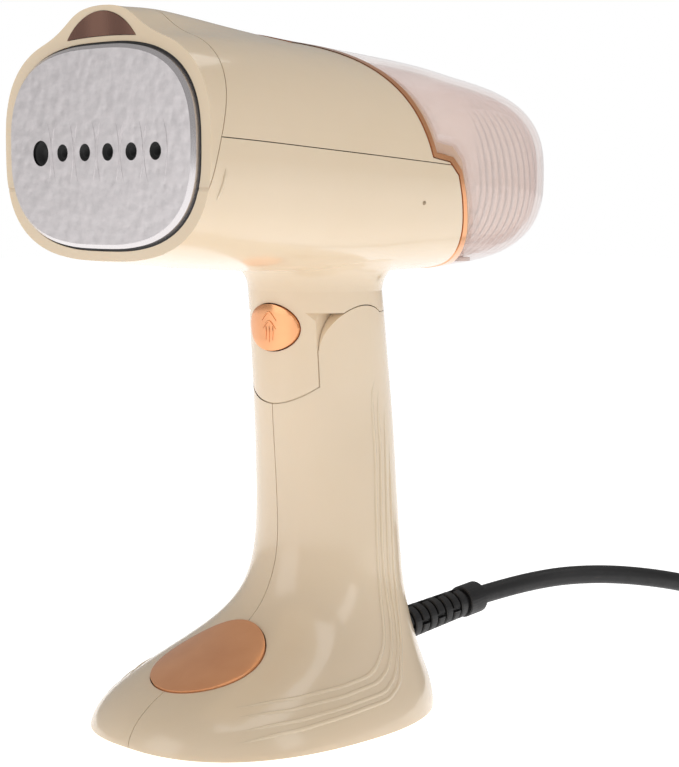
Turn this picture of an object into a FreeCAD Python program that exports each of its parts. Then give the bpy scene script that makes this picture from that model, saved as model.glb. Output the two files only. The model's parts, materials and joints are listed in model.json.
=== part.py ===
"""Handheld garment steamer with a folding head, as a parametric assembly.

Millimetres, +Z up.  The origin is the centre of the sole on the surface it stands on.
The steam plate faces -Y, the water tank and the mains cord leave towards +Y.
"""
import FreeCAD
import Part
import Sketcher
import math
import os
import re
from FreeCAD import Placement, Rotation, Vector

doc = FreeCAD.newDocument("Steamer")
sheet = doc.addObject("Spreadsheet::Sheet", "Sizes")

# Driving dimensions: alias, value, meaning.
SIZES = [
    ("head_width", 108, "widest part of the barrel"),
    ("head_height", 78, "barrel height at the neck"),
    ("head_axis", 196.3, "height of the barrel's axis"),
    ("rim_depth", 71.5, "front edge of the bezel, ahead of the origin"),
    ("tank_end", 121, "rear end of the tank"),
    ("tank_round", 35, "length over which the tank's end rounds off"),
    ("head_wall", 2.4, "barrel shell wall"),
    ("brow_rise", 8.6, "hump over the indicator window"),
    ("brow_width", 60, "hump width"),
    ("plate_width", 94.8, "steam plate"),
    ("plate_height", 64.6, "steam plate"),
    ("plate_thick", 4, "steam plate"),
    ("plate_proud", 2.5, "steam plate ahead of the bezel"),
    ("plate_axis", 198.7, "height of the steam plate's centre"),
    ("hole_pitch", 11.8, "steam holes"),
    ("hole_radius", 1.9, "steam holes"),
    ("main_hole_radius", 4.2, "first steam hole"),
    ("hole_height", 197.1, "row of steam holes"),
    ("seal_width", 0.9, "plate seal"),
    ("window_width", 35, "indicator window"),
    ("window_low", 233.2, "straight lower edge of the window"),
    ("window_rise", 8.4, "window height"),
    ("split_front", 201.4, "barrel parting line at the front"),
    ("split_rear", 194.6, "barrel parting line at the step"),
    ("seam_gap", 0.3, "visible gap between shells"),
    ("trim_step_front", 30.5, "parting step, front end"),
    ("trim_step_rear", 43, "parting step, rear end"),
    ("trim_width", 1.5, "copper trim"),
    ("collar_length", 5.2, "inner collar showing in the tank"),
    ("tank_wall", 2.2, "tank wall"),
    ("pivot_back", 23.5, "fold axis behind the origin"),
    ("pivot_height", 130, "fold axis above the sole"),
    ("ear_radius", 15.2, "round top of the handle's ears"),
    ("ear_inside", 17.2, "half the space between the ears"),
    ("ear_top_rear", 142.5, "rear top edge of the handle"),
    ("knuckle_radius", 28.5, "knuckle at the middle"),
    ("knuckle_half_width", 22.9, "half axis of the knuckle's curve"),
    ("drum_radius", 21.4, "round part of the knuckle"),
    ("run_gap", 0.35, "clearance of moving bodies"),
    ("pin_radius", 3, "fold pin"),
    ("pin_length", 42, "fold pin"),
    ("pin_play", 0.05, "running clearance of the fold pin"),
    ("foot_width", 102, "foot"),
    ("foot_front", 64, "foot ahead of the origin"),
    ("foot_rear", 63.5, "foot behind the origin"),
    ("grip_width", 50, "grip, side to side, at its middle"),
    ("handle_wall", 2.6, "handle shell wall"),
    ("sole_thick", 1.6, "rubber sole"),
    ("cover_thick", 2.4, "base cover"),
    ("steam_button_wide", 24, "steam button"),
    ("steam_button_tall", 16.4, "steam button"),
    ("steam_button_height", 137.5, "steam button above the sole"),
    ("steam_button_travel", 1.6, "steam button"),
    ("power_button_long", 41.5, "power button, along the slope"),
    ("power_button_wide", 41, "power button"),
    ("power_button_travel", 1.2, "power button"),
    ("cord_radius", 3.7, "mains cord"),
    ("boot_radius", 6.2, "cord boot"),
    ("boot_length", 55, "cord boot outside the foot"),
    ("boot_height", 19.7, "cord boot where it leaves the foot"),
    ("coil_turn_radius", 39, "middle of the coil's turns"),
    ("boiler_width", 78, "boiler block"),
    ("boiler_height", 48, "boiler block"),
    ("boiler_length", 36, "boiler block behind its flange"),
    ("pump_radius", 12, "water pump coil"),
    ("pump_length", 30, "water pump"),
    ("board_width", 52, "control board"),
    ("board_length", 34, "control board"),
    ("screw_radius", 1.5, "screw shank"),
    ("screw_head", 2.9, "screw head radius"),
]
for row, (alias, value, meaning) in enumerate(SIZES, start=1):
    sheet.set("A%d" % row, alias)
    sheet.set("B%d" % row, str(value))
    sheet.set("C%d" % row, meaning)
    sheet.setAlias("B%d" % row, alias)
doc.recompute()
ALIASES = {alias for alias, value, meaning in SIZES}
AXIS_TURNS = {
    "x": Rotation(Vector(0, 1, 0), 90),
    "y": Rotation(Vector(1, 0, 0), -90),
    "z": Rotation(),
}
nodes = []


def size(alias):
    """One driving dimension, as a number."""
    return float(sheet.get(alias))


def formula(text):
    """A formula of aliases, with the sheet named in front of each."""
    return re.sub(r"[a-z_]+", lambda word: "Sizes." + word.group()
                  if word.group() in ALIASES else word.group(), str(text))


def bind(item, **formulas):
    for name, text in formulas.items():
        item.setExpression(name, formula(text))
    return item


def place(item, at, turn=Rotation()):
    item.Placement = Placement(Vector(), turn)
    for axis, text in zip("xyz", at):
        item.setExpression("Placement.Base." + axis, formula(text))
    return item


def box(x, y, z, name="Block"):
    """A box between low and high formulas on each axis."""
    item = doc.addObject("Part::Box", name)
    spans = dict(zip(("Length", "Width", "Height"), (x, y, z)))
    bind(item, **{side: "(%s) - (%s)" % (high, low) for side, (low, high) in spans.items()})
    return place(item, (x[0], y[0], z[0]))


def rod(axis, radius, span, centre, name="Rod"):
    """A cylinder along an axis, between two formulas, about the other two coordinates."""
    item = doc.addObject("Part::Cylinder", name)
    bind(item, Radius=radius, Height="(%s) - (%s)" % (span[1], span[0]))
    at = list(centre)
    at.insert("xyz".index(axis), span[0])
    return place(item, at, AXIS_TURNS[axis])


def cone(axis, radii, span, centre, name="Cone"):
    item = doc.addObject("Part::Cone", name)
    bind(item, Radius1=radii[0], Radius2=radii[1], Height="(%s) - (%s)" % (span[1], span[0]))
    at = list(centre)
    at.insert("xyz".index(axis), span[0])
    return place(item, at, AXIS_TURNS[axis])


def cut(base, *tools):
    for tool in tools:
        item = doc.addObject("Part::Cut", "Cut")
        item.Base, item.Tool = base, tool
        base = item
    return base


def fuse(*items):
    item = doc.addObject("Part::MultiFuse", "Fusion")
    item.Shapes = list(items)
    return item


def common(*items):
    item = doc.addObject("Part::MultiCommon", "Common")
    item.Shapes = list(items)
    return item


def group(*items):
    item = doc.addObject("Part::Compound", "Group")
    item.Links = list(items)
    return item


def solid(shape, name="Form"):
    """A shape made with Part's own functions."""
    item = doc.addObject("Part::Feature", name)
    item.Shape = shape
    return item


def node(label, item):
    item.Label = label
    nodes.append(item)
    return item


def sketch_outline(body, plane, corners):
    """A closed outline of straight sides, each corner held to the origin by two formulas."""
    origin_plane = [item for item in body.Origin.OriginFeatures if item.Role == plane][0]
    sketch = body.newObject("Sketcher::SketchObject", "Outline")
    sketch.AttachmentSupport = (origin_plane, [""])
    sketch.MapMode = "FlatFace"
    probe = sheet_numbers(corners)
    count = len(corners)
    for index in range(count):
        start, end = probe[index], probe[(index + 1) % count]
        sketch.addGeometry(Part.LineSegment(Vector(*start, 0), Vector(*end, 0)), False)
    for index in range(count):
        sketch.addConstraint(Sketcher.Constraint("Coincident", index, 2, (index + 1) % count, 1))
    for index, corner in enumerate(corners):
        for kind, axis, text, value in zip(("DistanceX", "DistanceY"), (-2, -1), corner, probe[index]):
            if abs(value) < 1e-9:
                sketch.addConstraint(Sketcher.Constraint("PointOnObject", index, 1, axis))
                continue
            number = sketch.addConstraint(Sketcher.Constraint(kind, -1, 1, index, 1, value))
            sketch.setExpression("Constraints[%d]" % number, formula(text))
    return sketch


def sheet_numbers(corners):
    """What pairs of formulas come to."""
    return [tuple(sheet.evalExpression(formula(text)) for text in pair) for pair in corners]


def revolved(corners, at=(0, 0, 0), turn=Rotation(), name="Turned"):
    """A body of revolution; corners are (radius, height) about the body's own Z axis."""
    body = doc.addObject("PartDesign::Body", name)
    sketch = sketch_outline(body, "XZ_Plane", corners)
    turning = body.newObject("PartDesign::Revolution", "Revolution")
    turning.Profile = sketch
    turning.ReferenceAxis = (sketch, ["V_Axis"])
    turning.Angle = 360
    return place(body, at, turn)


# ---------------------------------------------------------------- curved forms

SECTION_POINTS = 40


def blend(stations, where):
    """Piecewise-linear value of the stations' (position, value) pairs."""
    for (low, first), (high, second) in zip(stations, stations[1:]):
        if where <= high:
            share = max(0.0, (where - low) / (high - low))
            return first + share * (second - first)
    return stations[-1][1]


def power(value, exponent):
    return math.copysign(abs(value) ** exponent, value)


def rounded_loop(half_width, low, high, exponent, to_point, raise_by=None):
    """A closed superellipse curve; to_point turns (across, along) into a 3D point."""
    centre, half = (low + high) / 2, (high - low) / 2
    points = []
    for step in range(SECTION_POINTS):
        angle = 2 * math.pi * (step + 0.5) / SECTION_POINTS
        sharp = exponent[0] if math.sin(angle) < 0 else exponent[1]
        across = half_width * power(math.cos(angle), 2 / sharp)
        along = centre + half * power(math.sin(angle), 2 / sharp)
        if raise_by and math.sin(angle) > 0:
            along += raise_by(across)
        points.append(to_point(across, along))
    curve = Part.BSplineCurve()
    steps = [step / SECTION_POINTS for step in range(SECTION_POINTS + 1)]
    curve.interpolate(Points=points, PeriodicFlag=True, Parameters=steps)
    return Part.Wire([curve.toShape()])


def loft(wires, ruled=False):
    return Part.makeLoft(wires, True, ruled)


# Barrel sections: share of the way from rim to tank end, width share, then bottom and top
# as shares of the barrel height from its axis.
BARREL = [
    (0.000, 0.975, -0.435, 0.503),
    (0.060, 1.005, -0.450, 0.512),
    (0.210, 0.998, -0.482, 0.512),
    (0.410, 0.962, -0.505, 0.488),
    (0.615, 0.895, -0.516, 0.446),
    (0.815, 0.812, -0.494, 0.372),
    (1.000, 0.735, -0.445, 0.305),
]
BROW = [(0.000, 1.00), (0.090, 0.86), (0.210, 0.42), (0.300, 0.13), (0.360, 0.0), (1.0, 0.0)]
BARREL_SQUARENESS = 2.8


def barrel_value(column, share):
    """A smooth value along the barrel, through its stations."""
    curve = Part.BSplineCurve()
    curve.interpolate(Points=[Vector(line[0], line[column], 0) for line in BARREL])
    low, high = 0.0, 1.0
    for _ in range(30):
        middle = (low + high) / 2
        if curve.value(middle).x < share:
            low = middle
        else:
            high = middle
    return curve.value((low + high) / 2).y


def barrel_loop(back, inset=0.0, shrink=1.0):
    """The barrel's section at a distance behind the origin, moved in by a wall."""
    front = -size("rim_depth")
    share = (back - front) / (size("tank_end") - front)
    height, axis = size("head_height"), size("head_axis")
    low = axis + height * barrel_value(2, share)
    high = axis + height * barrel_value(3, share)
    centre, half = (low + high) / 2, (high - low) / 2 * shrink - inset
    half_width = size("head_width") / 2 * barrel_value(1, share) * shrink - inset
    rise = size("brow_rise") * blend(BROW, share)
    reach = size("brow_width") / 2

    def brow(across):
        return rise * max(0.0, 1 - (across / reach) ** 2) ** 2

    return rounded_loop(half_width, centre - half, centre + half, (BARREL_SQUARENESS,) * 2,
                        lambda across, along: Vector(across, back, along),
                        brow if rise > 0.01 else None)


def barrel_form(start, end, inset=0.0, count=12, name="Barrel"):
    """A plain length of the barrel's form between two distances."""
    steps = [start + (end - start) * step / count for step in range(count + 1)]
    return solid(loft([barrel_loop(back, inset) for back in steps]), name)


def tank_form(start, inset=0.0, name="TankForm"):
    """The barrel's form from a distance to its rounded rear end."""
    end = size("tank_end") - inset
    turn = end - (size("tank_round") - inset)
    wires = [barrel_loop(start + (turn - start) * step / 5, inset) for step in range(5)]
    for degrees in (0, 20, 38, 54, 67, 77, 84):
        angle = math.radians(degrees)
        back = turn + (end - turn) * math.sin(angle) / math.sin(math.radians(84))
        wires.append(barrel_loop(back, inset, math.cos(angle) ** 0.62))
    return solid(loft(wires), name)


def plate_form(grow, start, end, face_grow=None, name="PlateForm"):
    """A slab of the steam plate's outline; face_grow tapers its front edge."""
    def outline(back, extra):
        return rounded_loop(size("plate_width") / 2 + extra,
                            size("plate_axis") - size("plate_height") / 2 - extra,
                            size("plate_axis") + size("plate_height") / 2 + extra,
                            (2.75, 2.75), lambda across, along: Vector(across, back, along))
    wires = [outline(start, grow if face_grow is None else face_grow), outline(end, grow)]
    return solid(loft(wires, True), name)


# Handle sections: height, front, rear, half width, squareness at the front and the rear.
# Below the bend they belong to the foot and scale with it, above it to the grip.
HANDLE = [
    (0.0, -64.0, 63.5, 50.4, 2.5, 2.2),
    (4.0, -63.0, 63.4, 50.0, 2.45, 2.2),
    (8.0, -60.4, 63.0, 48.6, 2.4, 2.2),
    (12.0, -56.0, 62.3, 46.3, 2.35, 2.2),
    (16.0, -49.6, 61.4, 43.4, 2.3, 2.2),
    (20.0, -41.4, 60.4, 40.5, 2.25, 2.2),
    (26.0, -27.0, 59.0, 36.4, 2.2, 2.18),
    (32.0, -14.4, 57.8, 32.7, 2.2, 2.16),
    (38.0, -5.9, 56.8, 30.0, 2.2, 2.15),
    (46.0, 0.0, 55.7, 27.7, 2.15, 2.15),
    (56.0, 3.6, 54.6, 26.7, 2.15, 2.15),
    (72.0, 4.5, 53.8, 25.5, 2.15, 2.15),
    (92.0, 3.4, 53.2, 24.2, 2.15, 2.15),
    (111.0, 2.2, 51.8, 23.4, 2.15, 2.15),
    (130.0, 2.0, 48.3, 24.3, 2.15, 2.15),
    (143.0, 1.6, 46.1, 24.7, 2.15, 2.15),
    (150.0, 1.3, 44.9, 24.8, 2.15, 2.15),
]
HANDLE_TOP = 150.0
BEND_LOW, BEND_HIGH = 20.0, 56.0


def handle_loop(line, inset=0.0):
    """One section of foot, grip or neck, moved in by a wall."""
    height, front, rear, half_width, front_power, rear_power = line
    share = min(1.0, max(0.0, (height - BEND_LOW) / (BEND_HIGH - BEND_LOW)))
    foot_front, foot_rear = size("foot_front") / 64.0, size("foot_rear") / 63.5
    foot_wide, grip_wide = size("foot_width") / 102.0, size("grip_width") / 50.0
    front *= foot_front + (1 - foot_front) * share
    rear *= foot_rear + (1 - foot_rear) * share
    half_width *= foot_wide + (grip_wide - foot_wide) * share
    level = height * size("pivot_height") / 130.0
    return rounded_loop(half_width - inset, front + inset, rear - inset, (front_power, rear_power),
                        lambda across, along: Vector(across, along, level))


def handle_form(low, high, inset=0.0, name="HandleForm"):
    """Foot and handle between two stations of the list."""
    wires = [handle_loop(line, inset) for line in HANDLE if low <= line[0] <= high]
    return solid(loft(wires), name)


def neck_form(inset=0.0, flare=1.0, name="NeckForm"):
    """The neck from the knuckle up into the barrel, flaring where the two meet."""
    lines = [line for line in HANDLE if line[0] >= 92.0]
    shaft = loft([handle_loop(line, inset) for line in lines])
    rises = ((0.0, 0.0), (3.0, 0.5), (6.0, 2.0), (9.0, 5.5), (12.0, 10.0))
    root = loft([handle_loop((HANDLE_TOP + rise,) + lines[-1][1:], inset - grow * flare)
                 for rise, grow in rises])
    return solid(shaft.fuse(root), name)


# ---------------------------------------------------------------- steam end

WIDE = 200          # reach of cutting blocks, past everything


def make_steam_end():
    front = -size("rim_depth")
    face = front - size("plate_proud")
    back = face + size("plate_thick")
    slab = plate_form(0.0, face + 1.2, back)
    bevel = plate_form(0.0, face, face + 1.2, -1.3)
    holes = [rod("y", "main_hole_radius", (face - 1, back + 1), ("-2.5*hole_pitch", "hole_height"))]
    for place_number in range(1, 6):
        across = "(%s)*hole_pitch" % (place_number - 2.5)
        holes.append(rod("y", "hole_radius", (face - 1, back + 1), (across, "hole_height")))
        holes.append(cone("y", ("hole_radius + 0.9", "hole_radius"), (face, face + 0.9),
                          (across, "hole_height")))
    node("steam_plate", cut(fuse(slab, bevel), *holes))

    seal_front, seal_back = front + 0.4, back + 0.6
    ring = plate_form(size("seal_width") - 0.15, seal_front, seal_back)
    inside = plate_form(0.02, seal_front - 1, back)
    lip = plate_form(-4.0, back - 1, seal_back + 1)
    node("plate_seal", cut(ring, inside, lip))

    flange = plate_form(-4.2, back, back + 5)
    low = "plate_axis - boiler_height/2"
    block = box(("-boiler_width/2", "boiler_width/2"), (back + 5, "%s + boiler_length" % (back + 5)),
                (low, "plate_axis + boiler_height/2"))
    chamber = box(("-boiler_width/2 + 8", "boiler_width/2 - 8"), (back - 1, back + 20),
                  ("plate_axis - 11", "plate_axis + 11"))
    legs = [rod("y", 4, (back + 8, back + 6 + size("boiler_length")), (side, "plate_axis - 17"))
            for side in (-26, 26)]
    sinks = [rod("y", 4.3, (back + 7.5, WIDE), (side, "plate_axis - 17")) for side in (-26, 26)]
    bridge = rod("x", 4, (-26, 26), (back + 12, "plate_axis - 17"))
    groove = rod("x", 4.3, (-26.5, 26.5), (back + 12, "plate_axis - 17"))
    inlet = rod("y", 2.5, (back + 15, WIDE), (0, "plate_axis"))
    node("boiler_block", cut(fuse(flange, block), chamber, *sinks, groove, inlet))
    element = fuse(bridge, *legs)
    terminals = [rod("y", 1.6, (back + 6 + size("boiler_length"), back + 16 + size("boiler_length")),
                     (side, "plate_axis - 17")) for side in (-26, 26)]
    node("heating_element", fuse(element, *terminals))

    lid_front = back + 5 + size("boiler_length")
    lid = box(("-boiler_width/2 + 4", "boiler_width/2 - 4"), (lid_front, lid_front + 2),
              ("plate_axis - 10", "plate_axis + 20"))
    nozzle = rod("y", 4, (lid_front + 1, lid_front + 9), (0, "plate_axis"))
    bore = rod("y", 2.5, (lid_front - 1, lid_front + 12), (0, "plate_axis"))
    node("boiler_lid", cut(fuse(lid, nozzle), bore))

    top = "plate_axis + boiler_height/2"
    node("thermostat", revolved([(0, 0), (8, 0), (8, 3), (5.5, 3), (5.5, 4.6), (0, 4.6)],
                                (-14, back + 22, top), name="Thermostat"))
    fuse_body = rod("x", 1.9, (10, 24), (back + 22, top + " + 2.1"))
    leads = rod("x", 0.5, (4, 30), (back + 22, top + " + 2.1"))
    clip = box((14, 20), (back + 18, back + 26), (top, top + " + 0.8"))
    node("thermal_fuse", fuse(fuse_body, leads, clip))
    outer = (("-boiler_width/2 - 2.2", "boiler_width/2 + 2.2"), (back + 9, lid_front - 2),
             ("plate_axis - boiler_height/2 - 2.2", "plate_axis - 2"))
    inner = (("-boiler_width/2 - 1.6", "boiler_width/2 + 1.6"), (back + 8, lid_front),
             ("plate_axis - boiler_height/2 - 1.6", "plate_axis + 2"))
    node("heat_shield", cut(box(*outer), box(*inner)))


# ---------------------------------------------------------------- barrel shells


def seam_slab(front_low, rear_low, lift=0.0):
    """A block above the barrel's sloping parting line."""
    run = size("trim_step_rear") + 60 + size("rim_depth")
    drop = front_low - rear_low
    angle = -math.degrees(math.atan2(drop, size("trim_step_front") + size("rim_depth")))
    slab = Part.makeBox(2 * WIDE, run + 2 * WIDE, WIDE)
    slab.translate(Vector(-WIDE, -WIDE, 0))
    slab.rotate(Vector(), Vector(1, 0, 0), angle)
    slab.translate(Vector(0, -size("rim_depth"), front_low + lift))
    return slab


def rear_profile(shift=0.0):
    """Side outline of everything ahead of the copper trim, as a solid across the barrel."""
    step_front, step_rear = size("trim_step_front"), size("trim_step_rear")
    split, axis, height = size("split_rear"), size("head_axis"), size("head_height")
    top, low = axis + height * 0.75, axis - height * 0.7
    crown = Vector(0, step_front - 44, axis + height * 0.475)
    waist = Vector(0, step_front - 11, axis + height * 0.24)
    upper = Vector(0, step_front, split + 1.4)
    step = Vector(0, step_rear - 3, split)
    knee = Vector(0, step_rear + 2.2, split - 4.5)
    heel = Vector(0, step_rear + 8.5, axis - height * 0.29)
    toe = Vector(0, step_rear + 15, axis - height * 0.42)
    tail = Vector(0, step_rear + 30, axis - height * 0.53)
    spine = Part.BSplineCurve()
    spine.interpolate(Points=[crown, (crown + waist) / 2 + Vector(0, 3.5, 3.2), waist, upper])
    shin = Part.BSplineCurve()
    shin.interpolate(Points=[knee, heel, toe, tail])
    edges = [
        Part.makeLine(Vector(0, -WIDE, low - 20), Vector(0, -WIDE, top)),
        Part.makeLine(Vector(0, -WIDE, top), Vector(0, crown.y - 20, top)),
        Part.makeLine(Vector(0, crown.y - 20, top), crown),
        spine.toShape(),
        Part.makeLine(upper, step),
        Part.makeLine(step, knee),
        shin.toShape(),
        Part.makeLine(tail, Vector(0, tail.y, low - 20)),
        Part.makeLine(Vector(0, tail.y, low - 20), Vector(0, -WIDE, low - 20)),
    ]
    face = Part.Face(Part.Wire(edges))
    profile = face.extrude(Vector(2 * WIDE, 0, 0))
    profile.translate(Vector(-WIDE, shift, shift))
    return profile


def make_barrel():
    front, gap, wall = -size("rim_depth"), size("seam_gap"), size("head_wall")
    rear = size("trim_step_rear") + 34
    outer = barrel_form(front, rear).Shape
    inner = barrel_form(front + 4.5, rear + 1, wall, name="BarrelInside").Shape
    opening = plate_form(size("seal_width"), front - 5, front + 5, name="PlateOpening").Shape
    shells = outer.cut(inner).cut(opening).common(rear_profile())
    # The bezel ends on a plane that leans back towards the top.
    lean = math.degrees(math.atan2(13.5, 58.0))
    bezel_space = Part.makeBox(2 * WIDE, WIDE, 2 * WIDE)
    bezel_space.translate(Vector(-WIDE, -WIDE, -WIDE))
    bezel_space.rotate(Vector(), Vector(1, 0, 0), -lean)
    bezel_space.translate(Vector(0, front + 11.5, size("window_low") + 2))
    bezel_end = bezel_space.copy()
    bezel_end.translate(Vector(0, gap, 0))
    window = window_form(0.15, 6)
    bezel = shells.common(bezel_space).cut(window)
    node("front_bezel", solid(bezel, "Bezel"))
    above = seam_slab(size("split_front"), size("split_rear"))
    below = seam_slab(size("split_front"), size("split_rear"), -gap)
    rest = shells.cut(bezel_end)
    node("barrel_upper_shell", solid(rest.common(above), "UpperShell"))

    neck = neck_form().Shape
    block = Part.makeBox(2 * WIDE, 2 * WIDE, WIDE)
    block.translate(Vector(-WIDE, -WIDE, size("ear_top_rear") + size("run_gap")))
    pivot = Vector(0, size("pivot_back"), size("pivot_height"))
    hub = Part.makeCylinder(size("ear_radius") + size("run_gap"), 2 * WIDE,
                            pivot - Vector(WIDE, 0, 0), Vector(1, 0, 0))
    shoulder = neck.common(block).cut(hub)
    slot = size("ear_inside") - size("run_gap")
    knuckle = knuckle_form(size("knuckle_radius"), size("knuckle_half_width"))
    nose = neck.common(knuckle).common(Part.makeBox(2 * slot, 2 * WIDE, 2 * WIDE,
                                                    Vector(-slot, -2 * WIDE + pivot.y - 4, 0)))
    drum = knuckle_form(size("drum_radius"), size("knuckle_half_width")).common(
        Part.makeBox(2 * slot, 2 * WIDE, 2 * WIDE, Vector(-slot, -WIDE, 0)))
    stem = neck_form(size("handle_wall") + 1.2, 0).Shape.common(
        Part.makeBox(2 * slot, 2 * WIDE, WIDE, Vector(-slot, -WIDE, pivot.z + 4)))
    mass = shoulder.fuse([nose, drum.common(neck), stem])
    hollow = neck_form(size("handle_wall") + 4.0, 0).Shape.common(
        Part.makeBox(26, 2 * WIDE, WIDE, Vector(-13, -WIDE, pivot.z + size("pin_radius") + 4.5)))
    wires = Part.makeCylinder(4, WIDE, Vector(0, pivot.y + 12, pivot.z - 60), Vector(0, 0, 1))
    bore = Part.makeCylinder(size("pin_radius") + size("pin_play"), 2 * WIDE,
                             pivot - Vector(WIDE, 0, 0), Vector(1, 0, 0))
    button = steam_button_space(size("run_gap"), 12)
    lower = rest.cut(below)
    root = mass.common(Part.makeBox(2 * WIDE, 2 * WIDE, WIDE, Vector(-WIDE, -WIDE, 0)))
    whole = lower.fuse(root.cut(inner))
    whole = whole.cut(hollow).cut(wires).cut(bore).cut(button)
    node("barrel_lower_shell", solid(whole, "LowerShell"))

    # Copper trim, then the collar that the tank slides onto.
    trim = barrel_form(front + 20, rear, -0.25, name="TrimOuter").Shape
    trim = trim.cut(barrel_form(front + 19, rear + 1, wall - 0.4, name="TrimInner").Shape)
    trim = trim.common(rear_profile(gap + size("trim_width"))).cut(rear_profile(gap))
    node("trim_ring", solid(trim, "TrimRing"))
    length = size("collar_length")
    core = barrel_form(front + 20, rear + 20, wall + 0.5, name="CollarOuter").Shape
    hollow = barrel_form(front + 19, rear + 21, wall + 2.3, name="CollarInner").Shape
    collar = core.cut(hollow.common(rear_profile(gap + length - 2.0)))
    collar = collar.common(rear_profile(gap + length)).cut(rear_profile(-2.0).common(hollow))
    collar = collar.cut(rear_profile(-4.0))
    height = valve_height()
    seat_hole = Part.makeCylinder(4.55, WIDE, Vector(0, 0, height), Vector(0, 1, 0))
    node("tank_collar", solid(collar.cut(seat_hole), "Collar"))


def knuckle_form(radius, half_width):
    """A barrel-shaped solid of revolution about the fold axis."""
    reach = size("ear_inside") + 1
    points = []
    for step in range(13):
        across = reach * (step / 6 - 1)
        points.append(Vector(across, radius * math.sqrt(1 - (across / half_width) ** 2), 0))
    bulge = Part.BSplineCurve()
    bulge.interpolate(Points=points)
    ends = [Vector(reach, 0, 0), Vector(-reach, 0, 0)]
    sides = Part.makePolygon([points[-1]] + ends + [points[0]]).Edges
    shape = Part.Face(Part.Wire([bulge.toShape()] + sides)).revolve(Vector(), Vector(1, 0, 0), 360)
    shape.translate(Vector(0, size("pivot_back"), size("pivot_height")))
    return shape


def window_form(grow, depth):
    """The half-moon of the indicator window."""
    half, low, rise = size("window_width") / 2, size("window_low"), size("window_rise")
    front = -size("rim_depth")
    corner_low = Vector(-half - grow, front - 2, low - grow)
    corner_far = Vector(half + grow, front - 2, low - grow)
    bottom = Part.Arc(corner_low, Vector(0, front - 2, low + 0.6 - grow), corner_far)
    crown = Part.Arc(corner_far, Vector(0, front - 2, low + rise + grow), corner_low)
    face = Part.Face(Part.Wire([bottom.toShape(), crown.toShape()]))
    return face.extrude(Vector(0, depth + 2, 0))


def steam_button_space(grow, depth):
    """The button's oval, through the front of the neck."""
    wide, tall = size("steam_button_wide") / 2 + grow, size("steam_button_tall") / 2 + grow
    centre = Vector(0, -10, size("steam_button_height"))
    edge = Part.Ellipse(centre, max(wide, tall), min(wide, tall)).toShape()
    edge.rotate(centre, Vector(1, 0, 0), 90)
    return Part.Face(Part.Wire([edge])).extrude(Vector(0, 10 + depth, 0))


# ---------------------------------------------------------------- water side


def valve_height():
    return size("plate_axis") - 14


def wall_face(shift, height):
    """How far back the stepped profile, moved out by a shift, stands at a height."""
    probe = Part.makeLine(Vector(0, -size("rim_depth"), height), Vector(0, WIDE, height))
    return rear_profile(shift).common(probe).BoundBox.YMax


def make_tank():
    gap, wall, trim = size("seam_gap"), size("tank_wall"), size("trim_width")
    face = gap + size("collar_length") + 0.6
    start = -size("trim_step_front")
    outer, inner = tank_form(start).Shape, tank_form(start - 1, wall).Shape
    skirt = outer.cut(inner).cut(rear_profile(2 * gap + trim))
    front_wall = inner.common(rear_profile(face + wall)).cut(rear_profile(face))
    vessel = skirt.fuse(front_wall)
    plug_back = size("tank_end") - 27
    plug_low = size("head_axis") - size("head_height") * 0.485
    boss = Part.makeCylinder(11.5, 6, Vector(0, plug_back, plug_low - 3)).common(outer)
    recess = Part.makeCylinder(9, 6, Vector(0, plug_back, plug_low - 4.6))
    bore = Part.makeCylinder(6.3, 16, Vector(0, plug_back, plug_low - 6))
    height = valve_height()
    port = Part.makeCylinder(4.4, size("tank_end") - 50, Vector(0, 20, height), Vector(0, 1, 0))
    vessel = vessel.fuse(boss).cut(recess).cut(bore).cut(port)
    node("water_tank", solid(vessel, "Tank"))
    plug = [(0, 0), (8.6, 0), (8.6, 1.3), (6.1, 1.3), (6.1, 5.5), (5.2, 6.5), (0, 6.5)]
    node("fill_plug", revolved(plug, ("0", plug_back, plug_low), name="FillPlug"))

    seat_end = wall_face(face, height + 4.5) - 0.3
    seat_front = wall_face(gap + size("collar_length") - 2.0, height + 8) - 2.6
    seat = [(2.8, 0), (2.8, seat_end - seat_front), (4.5, seat_end - seat_front), (4.5, 2.2),
            (7.5, 2.2), (7.5, 0), (3.4, 0), (3.4, -8), (2, -8), (2, -2)]
    node("valve_seat", revolved(seat, ("0", seat_front, height), AXIS_TURNS["y"], "ValveSeat"))
    hose = [Vector(0, -size("rim_depth") + 84.5, size("plate_axis")),
            Vector(0, seat_front - 18, size("plate_axis")),
            Vector(0, seat_front - 15, height), Vector(0, seat_front - 1, height)]
    node("suction_hose", solid(tube(hose, 4.9, 3.45), "SuctionHose"))
    back = wall_face(face + wall, height - 7.5) + 0.4
    stem = back - seat_end - 0.5
    valve = [(1.5, -stem - 3), (2.6, -stem - 3), (2.6, -stem), (4.3, -stem), (4.3, 0), (7.5, 0), (7.5, 2),
             (2.9, 2), (2.9, 8), (1.5, 8)]
    node("tank_valve", revolved(valve, ("0", back, height), AXIS_TURNS["y"], "TankValve"))
    low = size("head_axis") - size("head_height") / 2 + wall + 7
    points = [Vector(0, back + 2.6, height), Vector(0, back + 12, height),
              Vector(0, back + 15, low + 3), Vector(0, back + 22, low)]
    node("intake_hose", solid(tube(points, 4.2, 2.95), "IntakeHose"))


def tube(points, radius, bore=0.0):
    """A hose of straight runs and tangent arcs, hollow when it has a bore."""
    path = rounded_path(points)[0]
    start, along = points[0], points[1] - points[0]
    body = sweep_ring(path, start, along, radius)
    return body.cut(sweep_ring(path, start, along, bore)) if bore else body


def sweep_ring(path, start, along, radius):
    ring = Part.Wire([Part.makeCircle(radius, start, along)])
    shell = Part.BRepOffsetAPI.MakePipeShell(path)
    shell.add(ring)
    shell.setTransitionMode(1)
    shell.build()
    shell.makeSolid()
    return shell.shape()


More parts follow.
